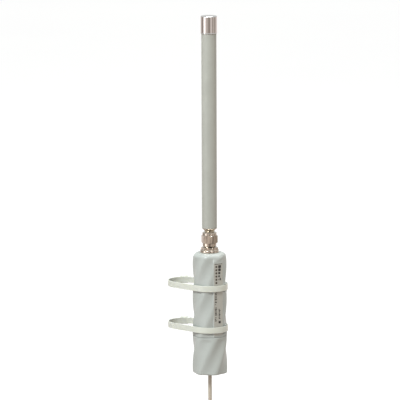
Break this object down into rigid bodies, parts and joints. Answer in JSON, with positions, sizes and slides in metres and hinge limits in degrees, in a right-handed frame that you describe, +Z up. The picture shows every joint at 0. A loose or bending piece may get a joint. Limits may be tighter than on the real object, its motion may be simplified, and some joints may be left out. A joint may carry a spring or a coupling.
{
  "type": "omnidirectional antenna",
  "caption": "Pole-mounted outdoor radio in a twisted, fluted grey housing, with a screw-on omnidirectional rod antenna, two cable ties and a network cable.",
  "frame": {"origin": "on the axis of the mast that the two cable ties grip, midway between the ties", "axes": "+Z up along the mast and the antenna, -Y from the mast to the radio housing"},
  "size_m": [0.0465, 0.0999, 0.6381],
  "materials": {
    "housing_plastic": "satin",
    "nylon": "satin",
    "seal_rubber": "matte",
    "label_film": "satin",
    "clear_plastic": "gloss",
    "led_lens": "gloss",
    "nickel": "polished",
    "chrome_cap": "polished",
    "ptfe": "matte",
    "gold_brass": "polished",
    "circuit_board": "gloss",
    "tinned_steel": "satin",
    "black_epoxy": "matte",
    "jack_plastic": "satin",
    "button_red": "satin",
    "plug_clear": "gloss",
    "fibreglass_paint": "satin",
    "copper": "satin",
    "foam": "matte",
    "cable_jacket": "satin",
    "hook_strap": "matte",
    "gasket_red": "matte"
  },
  "bodies": {
    "radio": {"upper_shell": "housing_plastic", "shell_seal": "seal_rubber", "label": "label_film", "light_pipe": "clear_plastic", "status_leds": "led_lens", "tie_upper": "nylon", "tie_lower": "nylon", "bulkhead_nut": "nickel", "lock_washer": "nickel", "bulkhead_gasket": "seal_rubber", "n_female_body": "nickel", "female_insulator": "ptfe", "female_contact": "gold_brass", "rf_lead": "copper", "main_board": "circuit_board", "rf_shield": "tinned_steel", "processor_chips": "black_epoxy", "ethernet_magnetics": "black_epoxy", "rj45_jack": "jack_plastic", "jack_contacts": "gold_brass", "reset_switch": "black_epoxy", "lan_plug": "plug_clear", "cable": "cable_jacket", "cable_hank": "cable_jacket", "hank_tie": "hook_strap", "far_plug": "plug_clear", "far_plug_boot": "cable_jacket"},
    "antenna": {"radome_tube": "fibreglass_paint", "top_cap": "chrome_cap", "cap_seal": "seal_rubber", "antenna_base": "nickel", "base_seal": "seal_rubber", "n_male_body": "nickel", "male_insulator": "ptfe", "male_pin": "gold_brass", "front_gasket": "gasket_red", "nut_retainer": "tinned_steel", "feed_coax": "copper", "choke_sleeve": "gold_brass", "lower_radiator": "gold_brass", "middle_radiator": "gold_brass", "upper_radiator": "gold_brass", "lower_coil": "copper", "upper_coil": "copper", "lower_former": "ptfe", "upper_former": "ptfe", "centring_discs": "foam"},
    "nut": {"coupling_nut": "nickel"},
    "cover": {"bottom_cover": "housing_plastic", "cable_grommet": "seal_rubber"},
    "reset": {"reset_button": "button_red"}
  },
  "joints": [
    {"name": "antenna_lift", "type": "slide", "parent": "radio", "child": "antenna", "axis": [0, 0, 1], "range_m": [0, 0.00847]},
    {"name": "nut_turn", "type": "hinge", "parent": "antenna", "child": "nut", "pos_m": [0, -0.0416, 0.0865], "axis": [0, 0, 1], "range_deg": [0, 2880]},
    {"name": "cover_slide", "type": "slide", "parent": "radio", "child": "cover", "axis": [0, 0, -1], "range_m": [0, 0.05]},
    {"name": "reset_press", "type": "slide", "parent": "radio", "child": "reset", "axis": [0, 0, 1], "range_m": [0, 0.0003], "stiffness_N_per_m": 400}
  ],
  "couplings": [
    {"joint": "nut_turn", "follows": "antenna_lift", "rad_per_m": 5936.9}
  ]
}
